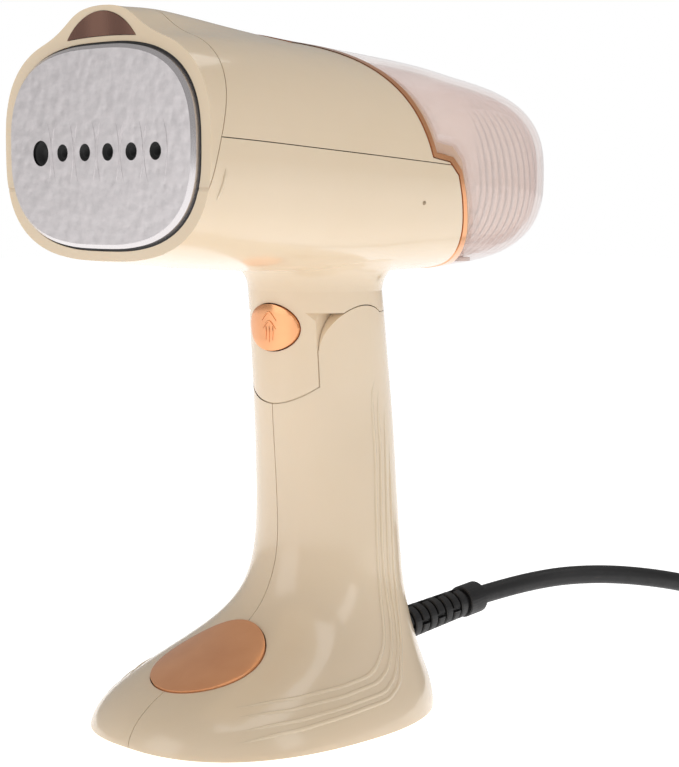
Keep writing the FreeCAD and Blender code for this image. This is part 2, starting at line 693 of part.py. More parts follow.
def rounded_path(points):
    """Straight runs joined by tangent arcs, each as large as its two runs allow."""
    edges, radii, start = [], [], points[0]
    for before, corner, after in zip(points, points[1:], points[2:]):
        inward, outward = (before - corner), (after - corner)
        run = min(inward.Length, outward.Length)
        half_turn = (math.pi - inward.getAngle(outward)) / 2
        reach = 0.45 * run
        first = corner + inward * (reach / inward.Length)
        last = corner + outward * (reach / outward.Length)
        radius = reach / math.tan(half_turn)
        middle_way = (inward * (1 / inward.Length) + outward * (1 / outward.Length))
        middle_way = middle_way * (1 / middle_way.Length)
        centre_far = math.hypot(radius, reach)
        middle = corner + middle_way * (centre_far - radius)
        edges.append(Part.LineSegment(start, first).toShape())
        edges.append(Part.Arc(first, middle, last).toShape())
        radii.append(radius)
        start = last
    edges.append(Part.LineSegment(start, points[-1]).toShape())
    return Part.Wire(edges), radii


def make_pump():
    lid_back = -size("rim_depth") - size("plate_proud") + size("plate_thick") + 7 + size("boiler_length")
    front, axis = lid_back + 15, "plate_axis"
    coil = rod("y", "pump_radius", (front + 6, "%s + pump_length - 8" % front), (0, axis))
    frame = box(("-pump_radius - 2", "pump_radius + 2"), (front + 4, front + 6),
                ("plate_axis - pump_radius - 1", "plate_axis + pump_radius + 1"))
    frame_rear = box(("-pump_radius - 2", "pump_radius + 2"),
                     ("%s + pump_length - 8" % front, "%s + pump_length - 6" % front),
                     ("plate_axis - pump_radius - 1", "plate_axis + pump_radius + 1"))
    spigots = rod("y", 3.4, (front - 2, "%s + pump_length" % front), (0, axis))
    way = rod("y", 1.5, (front - 5, "%s + pump_length + 5" % front), (0, axis))
    node("water_pump", cut(fuse(coil, frame, frame_rear, spigots), way))
    feed = rod("y", 5.6, (lid_back + 1.5, front + 3), (0, axis))
    over_nozzle = rod("y", 4.05, (lid_back, lid_back + 7.2), (0, axis))
    over_spigot = rod("y", 3.45, (lid_back + 7, front + 5), (0, axis))
    node("feed_hose", cut(feed, over_nozzle, over_spigot))
    low = "plate_axis - pump_radius"
    deck = box((-29, 29), (front + 3, front + 34), (low + " - 5.5", low + " - 3"))
    saddle = box((-9, 9), (front + 8, front + 20), (low + " - 3.5", low + " + 4"))
    nest = rod("y", "pump_radius + 0.2", (front, front + 50), (0, axis))
    posts = [rod("z", 2.4, (low + " - 4", low + " + 28"), (side, front + back))
             for side in (-22, 22) for back in (7, 30)]
    node("pump_cradle", cut(fuse(deck, saddle, *posts), nest))
    board_low = low + " + 28"
    plate = box(("-board_width/2", "board_width/2"), ("%s + 18.5 - board_length/2" % front,
                "%s + 18.5 + board_length/2" % front), (board_low, board_low + " + 1.6"))
    parts = [
        box((-14, -2), (front + 6, front + 16), (board_low + " + 1", board_low + " + 10")),
        rod("z", 4, (board_low + " + 1", board_low + " + 10.5"), (8, front + 12)),
        box((2, 14), (front + 20, front + 30), (board_low + " + 1", board_low + " + 8")),
        box((-12, -4), (front + 21, front + 31), (board_low + " + 1", board_low + " + 4")),
    ]
    node("control_board", fuse(plate, *parts))


def make_indicator():
    front = -size("rim_depth")
    slab = Part.makeBox(2 * WIDE, 2.6, 2 * WIDE, Vector(-WIDE, front - 0.2, 0))
    node("indicator_window", solid(window_form(0, 8).common(slab), "Window"))
    low = "plate_axis + boiler_height/2 + 5.6"
    board = box((-11, 11), (front + 9.5, front + 10.7), (low, low + " + 10"))
    lamps = [rod("y", 1.5, (front + 6.5, front + 9.8), (side, low + " + 7")) for side in (-6, 0, 6)]
    node("indicator_board", fuse(board, *lamps))


# ---------------------------------------------------------------- buttons


def make_buttons():
    neck = neck_form().Shape
    ahead = neck.copy()
    ahead.translate(Vector(0, -1.0, 0))
    behind = Part.makeBox(2 * WIDE, 6.6 + WIDE, 2 * WIDE, Vector(-WIDE, -WIDE, -WIDE))
    button = steam_button_space(0, 12).common(ahead).common(behind)
    node("steam_button", solid(button, "SteamButton"))
    height = size("steam_button_height")
    back = 6.6 + size("steam_button_travel") + 0.5
    case = box((-5, 5), (back, 11.9), (height - 3.2, height + 3.2))
    node("steam_switch", case)

    slope = power_button_place()
    cap = power_oval(0.0, 6.0)
    skin = handle_form(0, 72).Shape.copy()
    skin.translate(slope.Rotation.multVec(Vector(0, 0, 0.7)))
    floor = Part.makeBox(2 * WIDE, 2 * WIDE, WIDE, Vector(-WIDE, -WIDE, -3.4))
    floor.Placement = slope
    button = cap.common(skin).common(floor)
    stem = Part.makeCylinder(3, 3, Vector(0, 0, -5.4))
    stem.Placement = slope
    node("power_button", solid(button.fuse(stem), "PowerButton"))
    switch = Part.makeBox(12, 10, 5, Vector(-6, -5, -5.4 - size("power_button_travel") - 0.4 - 5))
    switch.Placement = slope
    node("power_switch", solid(switch, "PowerSwitch"))


def power_button_place():
    """The power button's own frame: X across the foot, Y up the slope, Z out of it."""
    front = size("foot_front") / 64.0
    return Placement(Vector(0, -29.0 * front, 25.9), Rotation(Vector(1, 0, 0), 22.5))


def power_oval(grow, depth):
    """The power button's oval outline, as a prism through the slope."""
    wide, long = size("power_button_wide") / 2 + grow, size("power_button_long") / 2 + grow
    points = []
    for step in range(32):
        angle = 2 * math.pi * step / 32
        across = wide * math.cos(angle)
        along = long * math.sin(angle)
        points.append(Vector(across, along, -depth))
    curve = Part.BSplineCurve()
    curve.interpolate(Points=points, PeriodicFlag=True)
    prism = Part.Face(Part.Wire([curve.toShape()])).extrude(Vector(0, 0, depth + 12))
    prism.Placement = power_button_place()
    return prism


# ---------------------------------------------------------------- handle and foot

SCREW_PLACES = [(-26, -22), (26, -22), (-22, 32), (22, 32)]


def make_handle():
    pivot = Vector(0, size("pivot_back"), size("pivot_height"))
    wall, play, inside = size("handle_wall"), size("run_gap"), size("ear_inside")
    outer = handle_form(0, HANDLE_TOP).Shape
    ear_top = Part.makeCylinder(size("ear_radius"), 2 * WIDE, pivot - Vector(WIDE, 0, 0), Vector(1, 0, 0))
    below = Part.makeBox(2 * WIDE, 2 * WIDE, pivot.z - 0.6, Vector(-WIDE, -WIDE, 0.6))
    behind = Part.makeBox(2 * WIDE, WIDE, size("ear_top_rear") - 0.6, Vector(-WIDE, pivot.y, 0.6))
    kept = outer.common(below.fuse([behind, ear_top]))
    slot = Part.makeBox(2 * inside, 2 * WIDE, WIDE, Vector(-inside, -WIDE, 96))
    room = Part.makeBox(2 * WIDE, 2 * WIDE, WIDE, Vector(-WIDE, -WIDE, 104 - WIDE)).fuse(slot)
    hollow = handle_form(0, HANDLE_TOP, wall, name="HandleInside").Shape.common(room)
    swing = knuckle_form(size("knuckle_radius") + play, size("knuckle_half_width") + play).common(
        Part.makeBox(2 * inside, WIDE, WIDE, Vector(-inside, pivot.y - WIDE, 80)))
    notch = Part.makeBox(2 * inside, WIDE, WIDE, Vector(-inside, pivot.y - WIDE, pivot.z))
    kept = kept.cut(hollow).cut(swing).cut(notch)
    bosses = [Part.makeCylinder(4, 60, Vector(x, y, 4.2)).common(outer) for x, y in SCREW_PLACES]
    pilots = [Part.makeCylinder(size("screw_radius") + 0.02, 11, Vector(x, y, 4)) for x, y in SCREW_PLACES]
    kept = kept.fuse(bosses)
    pin = Part.makeCylinder(size("pin_radius") + 0.02, size("pin_length") + 0.4,
                            pivot - Vector(size("pin_length") / 2 + 0.2, 0, 0), Vector(1, 0, 0))
    exit_hole = boot_solid(size("boot_radius") + 0.05, -20, 20)
    for tool in pilots + [pin, exit_hole, power_oval(size("run_gap"), 9)]:
        kept = kept.cut(tool)
    half = size("seam_gap") / 2
    for label, corner in (("handle_shell_left", -half - WIDE), ("handle_shell_right", half)):
        side = Part.makeBox(WIDE, 2 * WIDE, 2 * WIDE, Vector(corner, -WIDE, -WIDE))
        node(label, solid(kept.common(side), label))
    node("fold_pin", rod("x", "pin_radius", ("-pin_length/2", "pin_length/2"),
                         ("pivot_back", "pivot_height")))


def boot_frame(along):
    """A placement on the boot's own axis, a distance outside the foot."""
    turn = Rotation(Vector(1, 0, 0), -90 + 5.8)
    root = Vector(0, size("foot_rear") - 5.5, size("boot_height"))
    return Placement(root + turn.multVec(Vector(0, 0, along)), turn)


def boot_solid(radius, start, end):
    rod_shape = Part.makeCylinder(radius, end - start)
    rod_shape.Placement = boot_frame(start)
    return rod_shape


def make_cord():
    radius, boot, length = size("cord_radius"), size("boot_radius"), size("boot_length")
    corners = [(0, -7), ("boot_radius + 2", -7), ("boot_radius + 2", -5), ("boot_radius", -5),
               ("boot_radius - 0.6", "boot_length - 9"), ("boot_radius + 0.7", "boot_length - 9"),
               ("boot_radius + 0.7", "boot_length"), (0, "boot_length")]
    root = boot_frame(0)
    node("strain_relief", revolved(corners, tuple(root.Base), root.Rotation, "StrainRelief"))
    points = [boot_frame(length + 0.6).Base] + [Vector(*point) for point in ROUTE]
    path, radii = rounded_path(points)
    cord = sweep_ring(path, points[0], points[1] - points[0], radius)
    print("cord radii", [round(value, 1) for value in radii], "volume ratio",
          round(cord.Volume / (math.pi * radius ** 2 * path.Length), 4), "length", round(path.Length, 1))
    node("cord_tube", solid(cord, "Cord"))
    ring = [("coil_turn_radius - 2*cord_radius", 1), ("coil_turn_radius - 2*cord_radius + 1", 0),
            ("coil_turn_radius + 2*cord_radius - 1", 0), ("coil_turn_radius + 2*cord_radius", 1),
            ("coil_turn_radius + 2*cord_radius", "6*cord_radius - 1"),
            ("coil_turn_radius + 2*cord_radius - 1", "6*cord_radius"),
            ("coil_turn_radius - 2*cord_radius + 1", "6*cord_radius"),
            ("coil_turn_radius - 2*cord_radius", "6*cord_radius - 1")]
    node("cord_coil", revolved(ring, (COIL[0], COIL[1], 0), name="Coil"))
    outer = box(("%s - coil_turn_radius - 2*cord_radius - 1.2" % COIL[0],
                 "%s - coil_turn_radius + 2*cord_radius + 1.2" % COIL[0]),
                (COIL[1] - 6, COIL[1] + 6), (0, "6*cord_radius + 1.2"))
    inner = box(("%s - coil_turn_radius - 2*cord_radius" % COIL[0],
                 "%s - coil_turn_radius + 2*cord_radius" % COIL[0]),
                (COIL[1] - 7, COIL[1] + 7), (1.2, "6*cord_radius"))
    node("cord_tie", cut(outer, inner))
    top = "6*cord_radius"
    east = "%s + coil_turn_radius" % COIL[0]
    body = box((east + " - 17.5", east + " + 17.5"), (COIL[1] + 4, COIL[1] + 34), (top, top + " + 13.6"))
    sleeve = cone("y", (4.6, 6.6), (COIL[1] - 18, COIL[1] + 5), (east, top + " + 6.8"))
    node("plug_body", fuse(body, sleeve))
    pins = [rod("y", 2, (COIL[1] + 34, COIL[1] + 53), (east + " %s" % side, top + " + 6.8"))
            for side in ("- 9.5", "+ 9.5")]
    node("plug_pins", group(*pins))


# The cord's way over the surface, chosen by hand, then the coil's centre.
ROUTE = [
    (4.0, 140.0, 28.3),
    (18.0, 166.0, 29.6),
    (33.0, 195.0, 25.0),
    (42.0, 226.0, 15.5),
    (47.0, 258.0, 7.5),
    (49.6, 290.0, 3.9),
    (50.3, 321.0, 3.75),
    (50.2, 345.0, 3.75),
]
COIL = (4.0, 354.0)


def make_foot():
    inset = size("handle_wall") + 0.3
    low, thick = 1.7, size("cover_thick")
    cover = handle_form(0, 8, inset, name="CoverForm").Shape.common(
        Part.makeBox(2 * WIDE, 2 * WIDE, thick, Vector(-WIDE, -WIDE, low)))
    for x, y in SCREW_PLACES:
        cover = cover.cut(Part.makeCylinder(size("screw_radius") + 0.25, 20, Vector(x, y, 0)))
        cover = cover.cut(Part.makeCylinder(size("screw_head") + 0.3, low + 1.4, Vector(x, y, 0)))
    node("base_cover", solid(cover, "BaseCover"))
    pad = handle_form(0, 4, inset + 0.6, name="SoleForm").Shape.common(
        Part.makeBox(2 * WIDE, 2 * WIDE, size("sole_thick"), Vector(-WIDE, -WIDE, 0)))
    node("sole_pad", solid(pad, "Sole"))
    screw = [(0, 0), ("screw_head", 0), ("screw_head", 1.2), ("screw_radius", 1.2),
             ("screw_radius", 9.5), (0, 10.8)]
    node("base_screws", group(*[revolved(screw, (x, y, low + 0.15), name="Screw")
                                for x, y in SCREW_PLACES]))
    clamp_y = size("foot_rear") - 27
    base = box((-12, 12), (clamp_y - 5, clamp_y + 5), (low + thick, 10))
    jaw = box((-12, 12), (clamp_y - 5, clamp_y + 5), (10, 23))
    groove = doc.addObject("Part::Feature", "ClampGroove")
    groove.Shape = boot_solid(size("cord_radius") + 0.1, -40, 20)
    node("cord_clamp", cut(fuse(base, jaw), groove))
    end = boot_frame(-7.05).Base
    lead = [end, boot_frame(-32).Base, Vector(0, 15, 21), Vector(0, 14, 45), Vector(0, 30, 70),
            Vector(0, size("pivot_back") + 12, 92), Vector(0, size("pivot_back") + 12, 100)]
    node("supply_lead", solid(tube(lead, size("cord_radius")), "SupplyLead"))
    back = size("pivot_back") + 12
    wires = tube([Vector(0, back, 118), Vector(0, back, 142), Vector(0, back - 6, 156),
                  Vector(0, back - 7, 176)], 2.6)
    node("head_wires", solid(wires, "HeadWires"))


def finish():
    doc.recompute()
    bad = [item.Name for item in doc.Objects if {"Invalid", "Error"} & set(item.State)]
    for item in nodes:
        if item.Shape.isNull() or not item.Shape.isValid() or not item.Shape.Solids:
            bad.append(item.Label)
    if bad:
        raise SystemExit("failed: " + ", ".join(bad))
    os.makedirs("parts", exist_ok=True)
    for item in nodes:
        item.Shape.exportStep(os.path.join("parts", item.Label + ".step"))
    print(len(nodes), "nodes written")


make_steam_end()
make_barrel()
make_tank()
make_pump()
make_indicator()
make_buttons()
make_handle()
make_foot()
make_cord()
finish()
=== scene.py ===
"""Looks of the handheld garment steamer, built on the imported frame.  Metres, +Z up."""

import json
import math

import bmesh
import bpy
from mathutils import Matrix, Vector
from mathutils.bvhtree import BVHTree


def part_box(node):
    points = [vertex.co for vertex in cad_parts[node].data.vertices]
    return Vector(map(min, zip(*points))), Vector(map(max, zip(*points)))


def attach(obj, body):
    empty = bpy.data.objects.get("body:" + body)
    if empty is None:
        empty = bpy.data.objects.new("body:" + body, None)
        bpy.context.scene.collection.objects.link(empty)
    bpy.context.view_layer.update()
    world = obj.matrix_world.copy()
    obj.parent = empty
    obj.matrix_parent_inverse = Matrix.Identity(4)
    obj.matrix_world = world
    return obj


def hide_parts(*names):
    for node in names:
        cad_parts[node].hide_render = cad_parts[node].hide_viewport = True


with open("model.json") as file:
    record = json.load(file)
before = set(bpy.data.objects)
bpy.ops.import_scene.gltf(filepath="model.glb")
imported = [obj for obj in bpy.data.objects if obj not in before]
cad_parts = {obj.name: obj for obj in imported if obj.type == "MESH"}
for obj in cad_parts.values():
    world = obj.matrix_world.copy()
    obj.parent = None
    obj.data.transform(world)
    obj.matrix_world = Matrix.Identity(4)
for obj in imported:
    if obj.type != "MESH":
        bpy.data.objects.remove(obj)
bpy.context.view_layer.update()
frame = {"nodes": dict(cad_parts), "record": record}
nodes = frame["nodes"]
MM = 0.001

# ---------------------------------------------------------------- camera

camera_data = bpy.data.cameras.new("view")
camera_data.lens = 89.18
camera_data.sensor_width = 36
camera = bpy.data.objects.new("view", camera_data)
camera.location = (0.4856, -0.4500, 0.1842)
camera.rotation_euler = Vector((-0.7036, 0.7036, -0.0998)).to_track_quat("-Z", "Y").to_euler()
bpy.context.scene.collection.objects.link(camera)
bpy.context.scene.camera = camera

# ---------------------------------------------------------------- cord

CORD_RADIUS = 3.7 * MM
COIL = (4.0, 354.0)
ROUTE = [
    (0, 112.4, 25.1),
    (4.0, 140.0, 28.3),
    (18.0, 166.0, 29.6),
    (33.0, 195.0, 25.0),
    (42.0, 226.0, 15.5),
    (47.0, 258.0, 7.5),
    (49.6, 290.0, 3.9),
    (50.3, 321.0, 3.75),
]


def step_between(value, low, high):
    """0 before low, 1 after high, smooth between."""
    share = min(1.0, max(0.0, (value - low) / (high - low)))
    return share * share * (3 - 2 * share)


def coil_points():
    """Three turns stacked outside, two and a half down inside them, then up and over to the plug."""
    start = math.radians(-12)
    points = []
    for step in range(int(5.92 * 16) + 1):
        turn = step / 16
        radius = 42.9 - 7.4 * step_between(turn, 2.6, 2.75) - 8.8 * step_between(turn, 5.22, 5.44)
        radius += 15.4 * step_between(turn, 5.74, 5.94)
        height = 3.75 + 7.4 * (step_between(turn, 0.85, 1.0) + step_between(turn, 1.85, 2.0)
                               - step_between(turn, 3.35, 3.5) - step_between(turn, 4.35, 4.5))
        height += 22.4 * step_between(turn, 5.36, 5.76) + 2.6 * step_between(turn, 5.76, 5.94)
        angle = start + 2 * math.pi * turn
        points.append((COIL[0] + radius * 1.012 * math.cos(angle),
                       COIL[1] + radius * 1.012 * math.sin(angle), height))
    return points + [(COIL[0] + 39.0, COIL[1] - 23.0, 28.9), (COIL[0] + 39.0, COIL[1] - 17.0, 29.0)]


def nurbs_cord(name, points, radius):
    curve = bpy.data.curves.new(name, "CURVE")
    curve.dimensions = "3D"
    spline = curve.splines.new("NURBS")
    spline.points.add(len(points) - 1)
    for slot, point in zip(spline.points, points):
        slot.co = (point[0] * MM, point[1] * MM, point[2] * MM, 1)
        slot.radius = MM
    spline.order_u = 3
    spline.use_endpoint_u = True
    spline.resolution_u = 8
    curve.bevel_depth = radius / MM
    curve.bevel_resolution = 5
    curve.use_fill_caps = True
    cord = bpy.data.objects.new(name, curve)
    bpy.context.scene.collection.objects.link(cord)
    return cord


cord = nurbs_cord("mains_cord", ROUTE + coil_points(), CORD_RADIUS)
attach(cord, "handle")
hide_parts("cord_tube", "cord_coil")

# ---------------------------------------------------------------- materials


class Paint:
    """One procedural material, with short ways to add nodes."""

    def __init__(self, name, color, **sockets):
        self.material = bpy.data.materials.new(name)
        self.material.use_nodes = True
        self.tree = self.material.node_tree
        self.shader = self.tree.nodes["Principled BSDF"]
        self.shader.inputs["Base Color"].default_value = (*color, 1)
        for socket, value in sockets.items():
            self.shader.inputs[socket.replace("_", " ")].default_value = value
        self.place = self.add("ShaderNodeTexCoord").outputs["Object"]
        self.height = None

    def add(self, kind, **settings):
        node = self.tree.nodes.new(kind)
        for name, value in settings.items():
            if name in node.inputs:
                node.inputs[name].default_value = value
            else:
                setattr(node, name, value)
        return node

    def link(self, source, target):
        self.tree.links.new(source, target)

    def noise(self, scale, detail=3.0, stretch=None):
        source = self.place
        if stretch:
            mapping = self.add("ShaderNodeMapping")
            mapping.inputs["Scale"].default_value = stretch
            self.link(source, mapping.inputs["Vector"])
            source = mapping.outputs["Vector"]
        noise = self.add("ShaderNodeTexNoise")
        noise.inputs["Scale"].default_value = scale
        noise.inputs["Detail"].default_value = detail
        self.link(source, noise.inputs["Vector"])
        return noise.outputs["Fac"]

    def ramp(self, source, low, high, out_low, out_high):
        ramp = self.add("ShaderNodeMapRange")
        for socket, value in zip(("From Min", "From Max", "To Min", "To Max"),
                                 (low, high, out_low, out_high)):
            ramp.inputs[socket].default_value = value
        self.link(source, ramp.inputs["Value"])
        return ramp.outputs["Result"]

    def roughness(self, source, low, high):
        self.link(self.ramp(source, 0.3, 0.7, low, high), self.shader.inputs["Roughness"])

    def tint(self, source, first, second, low=0.35, high=0.65):
        """Mixes two colours by a pattern; the first may be the colour output of another tint."""
        mix = self.add("ShaderNodeMix", data_type="RGBA")
        if isinstance(first, tuple):
            mix.inputs[6].default_value = (*first, 1)
        else:
            self.link(first, mix.inputs[6])
        mix.inputs[7].default_value = (*second, 1)
        self.link(self.ramp(source, low, high, 0, 1), mix.inputs[0])
        self.link(mix.outputs[2], self.shader.inputs["Base Color"])
        return mix.outputs[2]

    def bump(self, source, strength, distance):
        bump = self.add("ShaderNodeBump")
        bump.inputs["Strength"].default_value = strength
        bump.inputs["Distance"].default_value = distance
        self.link(source, bump.inputs["Height"])
        if self.height:
            self.link(self.height, bump.inputs["Normal"])
        self.height = bump.outputs["Normal"]
        self.link(self.height, self.shader.inputs["Normal"])


def srgb(red, green, blue):
    return tuple(((value / 255 + 0.055) / 1.055) ** 2.4 for value in (red, green, blue))


def cream():
    paint = Paint("cream_abs", srgb(232, 212, 184), Roughness=0.2, IOR=1.5)
    paint.shader.inputs["Subsurface Weight"].default_value = 0.12
    paint.shader.inputs["Subsurface Radius"].default_value = (0.004, 0.003, 0.002)
    paint.shader.inputs["Subsurface Scale"].default_value = 0.6
    paint.shader.inputs["Coat Weight"].default_value = 0.35
    paint.shader.inputs["Coat Roughness"].default_value = 0.06
    paint.tint(paint.noise(14, 4), srgb(232, 212, 185), srgb(229, 208, 179))
    paint.roughness(paint.noise(60, 5), 0.17, 0.26)
    paint.bump(paint.noise(900, 2), 0.03, 0.0002)
    return paint.material


def aluminium():
    paint = Paint("satin_aluminium", srgb(214, 210, 210), Metallic=0.75, Roughness=0.42)
    paint.tint(paint.noise(300, 4, (1, 1, 2.2)), srgb(214, 208, 209), srgb(206, 201, 202))
    paint.roughness(paint.noise(240, 5), 0.36, 0.46)
    voronoi = paint.add("ShaderNodeTexVoronoi")
    voronoi.inputs["Scale"].default_value = 260
    voronoi.feature = "SMOOTH_F1"
    paint.link(paint.place, voronoi.inputs["Vector"])
    paint.bump(voronoi.outputs["Distance"], 0.3, 0.0006)
    paint.bump(paint.noise(500, 4), 0.12, 0.0004)
    return paint.material


def plate_edge():
    paint = Paint("plate_edge", srgb(216, 211, 212), Metallic=0.8, Roughness=0.2)
    paint.roughness(paint.noise(80, 3), 0.14, 0.24)
    return paint.material


def copper(name="copper_plate"):
    paint = Paint(name, srgb(240, 172, 122), Metallic=0.85, Roughness=0.2)
    paint.shader.inputs["Coat Weight"].default_value = 0.4
    paint.shader.inputs["Coat Roughness"].default_value = 0.08
    paint.tint(paint.noise(50, 4), srgb(243, 174, 122), srgb(232, 162, 112))
    paint.roughness(paint.noise(120, 4), 0.16, 0.27)
    paint.bump(paint.noise(1500, 2), 0.02, 0.0001)
    return paint.material


def tank_clear():
    paint = Paint("tinted_clear", srgb(246, 220, 208), Roughness=0.06, IOR=1.5, Alpha=0.26)
    paint.shader.inputs["Coat Weight"].default_value = 0.6
    split = paint.add("ShaderNodeSeparateXYZ")
    paint.link(paint.place, split.inputs["Vector"])

    def math_node(kind, first, second):
        node = paint.add("ShaderNodeMath", operation=kind)
        node.inputs[2].default_value = 0.5
        for socket, value in zip(node.inputs, (first, second)):
            if isinstance(value, (int, float)):
                socket.default_value = value
            else:
                paint.link(value, socket)
        return node.outputs[0]

    height = math_node("SUBTRACT", split.outputs["Z"], 0.182)
    bow = math_node("MULTIPLY", math_node("MULTIPLY", height, height), 9.0)
    line = math_node("ADD", split.outputs["Y"], bow)
    wave = math_node("SINE", math_node("MULTIPLY", line, 2 * math.pi / 0.0041), 0)
    ridge = math_node("POWER", math_node("MULTIPLY_ADD", wave, 0.5), 6.0)
    behind = paint.ramp(split.outputs["Y"], 0.054, 0.06, 0, 1)
    ahead = paint.ramp(split.outputs["Y"], 0.107, 0.111, 1, 0)
    below = paint.ramp(split.outputs["Z"], 0.207, 0.222, 1, 0)
    mask = math_node("MULTIPLY", math_node("MULTIPLY", behind, ahead), below)
    ribs = math_node("MULTIPLY", ridge, mask)
    # Painted shade: the rib lines are tinted dark brown for the refraction seen along them; the ribs
    # also get a real bump below.
    body = paint.tint(ribs, srgb(236, 198, 178), srgb(116, 80, 70), 0.0, 1.0)
    # Painted shade: the tank's grazing edges are tinted a darker peach, standing in for refraction along
    # its walls.
    grazing_edge_shade = paint.add("ShaderNodeLayerWeight", Blend=0.5).outputs["Facing"]
    paint.tint(grazing_edge_shade, body, srgb(196, 112, 72), 0.45, 0.95)
    paint.bump(ribs, 0.8, 0.0009)
    return paint.material


def smoked():
    paint = Paint("smoked_window", srgb(128, 84, 66), Roughness=0.12, IOR=1.5)
    paint.shader.inputs["Transmission Weight"].default_value = 0.45
    paint.shader.inputs["Coat Weight"].default_value = 0.5
    paint.roughness(paint.noise(60, 3), 0.08, 0.16)
    wave = paint.add("ShaderNodeTexWave")
    wave.inputs["Scale"].default_value = 14
    wave.inputs["Distortion"].default_value = 2.5
    paint.link(paint.place, wave.inputs["Vector"])
    paint.tint(wave.outputs["Fac"], srgb(158, 112, 92), srgb(132, 88, 70), 0.1, 0.9)
    return paint.material


def rubber(name="cord_black", color=(19, 18, 19), rough=(0.4, 0.55)):
    paint = Paint(name, srgb(*color), Roughness=rough[0])
    paint.tint(paint.noise(90, 4), srgb(*color), tuple(v * 1.35 for v in srgb(*color)))
    paint.roughness(paint.noise(220, 5), *rough)
    paint.bump(paint.noise(2600, 3), 0.12, 0.00015)
    return paint.material


def plain(name, color, rough, metal=0.0, grain=700):
    paint = Paint(name, srgb(*color), Metallic=metal, Roughness=rough)
    paint.tint(paint.noise(60, 4), srgb(*color), tuple(v * 0.86 for v in srgb(*color)))
    paint.roughness(paint.noise(200, 4), rough * 0.8, rough * 1.25)
    paint.bump(paint.noise(grain, 3), 0.1, 0.0002)
    return paint.material


CREAM, COPPER, BLACK, EDGE = cream(), copper(), rubber(), plate_edge()
SILICONE = plain("silicone_hose", (222, 216, 206), 0.45)
# Near-black paint for the steam holes: painted shade, not a colour of the plate itself.
HOLE_SHADE = rubber("painted_hole_shade", (8, 8, 8), (0.6, 0.8))
LOOKS = {
    "cream_plastic": CREAM,
    "plate_aluminium": aluminium(),
    "cast_aluminium": plain("cast_block", (160, 162, 164), 0.5, 0.9, 500),
    "steel": plain("bright_steel", (178, 178, 180), 0.28, 1.0, 900),
    "brass_pins": plain("pin_brass", (214, 184, 120), 0.25, 1.0, 900),
    "copper_paint": COPPER,
    "smoked_window": smoked(),
    "tank_plastic": tank_clear(),
    "black_plastic": rubber("matt_black", (28, 28, 28), (0.45, 0.62)),
    "cord_rubber": BLACK,
    "sole_rubber": rubber("sole_grey", (96, 90, 84), (0.6, 0.75)),
    "seal_rubber": rubber("gasket", (40, 38, 38), (0.5, 0.65)),
    "silicone": SILICONE,
    "tie": rubber("tie_black", (34, 34, 35), (0.4, 0.55)),
    "board": plain("board_laminate", (38, 96, 60), 0.4),
    "pump_body": plain("coil_lacquer", (44, 46, 54), 0.35),
}
for part in frame["record"]["subparts"]:
    nodes[part["node"]].data.materials.clear()
    nodes[part["node"]].data.materials.append(LOOKS[part["material_slot"]])
for name in ("tank_valve", "valve_seat", "intake_hose"):
    nodes[name].data.materials[0] = SILICONE
cord.data.materials.append(BLACK)

# The plate's slanted edge is smoother than its face, and the walls of its holes are painted near-black:
# painted shade for the dark inside of each hole.
plate = nodes["steam_plate"].data
plate.materials.append(EDGE)
plate.materials.append(HOLE_SHADE)
face_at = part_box("steam_plate")[0].y
PLATE_CENTRE, FACE_HALF_WIDTH, FACE_HALF_HEIGHT = 0.1987, 0.0405, 0.0255
for polygon in plate.polygons:
    radius = math.hypot(polygon.center.x / FACE_HALF_WIDTH,
                        (polygon.center.z - PLATE_CENTRE) / FACE_HALF_HEIGHT)
    if polygon.normal.y > -0.995 and radius > 1.0:
        polygon.material_index = 1
    # Painted shade: the hole walls take the near-black paint.
    elif abs(polygon.normal.y) < 0.99 and radius <= 1.0:
        polygon.material_index = 2

# ---------------------------------------------------------------- pieces


def mesh_piece(name, mesh_maker, paint, body):
    mesh = bpy.data.meshes.new(name)
    made = bmesh.new()
    mesh_maker(made)
    bmesh.ops.recalc_face_normals(made, faces=made.faces)
    made.to_mesh(mesh)
    made.free()
    mesh.materials.append(paint)
    piece = bpy.data.objects.new(name, mesh)
    bpy.context.scene.collection.objects.link(piece)
    for polygon in mesh.polygons:
        polygon.use_smooth = True
    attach(piece, body)
    return piece


def line_piece(name, points, radius, paint, body, taper=True):
    """A fine raised line through points in metres, thinner towards its ends."""
    curve = bpy.data.curves.new(name, "CURVE")
    curve.dimensions = "3D"
    spline = curve.splines.new("NURBS")
    spline.points.add(len(points) - 1)
    for index, (slot_point, point) in enumerate(zip(spline.points, points)):
        slot_point.co = (*point, 1)
        edge = min(index, len(points) - 1 - index) / max(1, len(points) - 1)
        slot_point.radius = MM * (min(1.0, 0.15 + 6 * edge) if taper else 1.0)
    spline.order_u = 4
    spline.use_endpoint_u = True
    spline.resolution_u = 6
    curve.bevel_depth = radius / MM
    curve.bevel_resolution = 3
    curve.materials.append(paint)
    piece = bpy.data.objects.new(name, curve)
    bpy.context.scene.collection.objects.link(piece)
    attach(piece, body)
    return piece


def surface_of(*names):
    made = bmesh.new()
    for name in names:
        made.from_mesh(nodes[name].data)
    tree = BVHTree.FromBMesh(made)
    made.free()
    return tree


def on_surface(tree, point, sink):
    """The nearest surface point in millimetres, moved inwards by sink metres."""
    spot, normal, _, _ = tree.find_nearest(Vector(point) * MM)
    out = Vector((spot.x, spot.y - 0.026, 0)).normalized()
    if normal.dot(out) < 0:
        normal = -normal
    return spot - normal * sink


def dense(points, count):
    """Points spread evenly along a polyline."""
    spots = [Vector(point) for point in points]
    lengths = [(b - a).length for a, b in zip(spots, spots[1:])]
    total, made = sum(lengths), []
    for step in range(count + 1):
        along = total * step / count
        for first, second, length in zip(spots, spots[1:], lengths):
            if along <= length or second is spots[-1]:
                made.append(first.lerp(second, min(1.0, along / length)))
                break
            along -= length
    return made


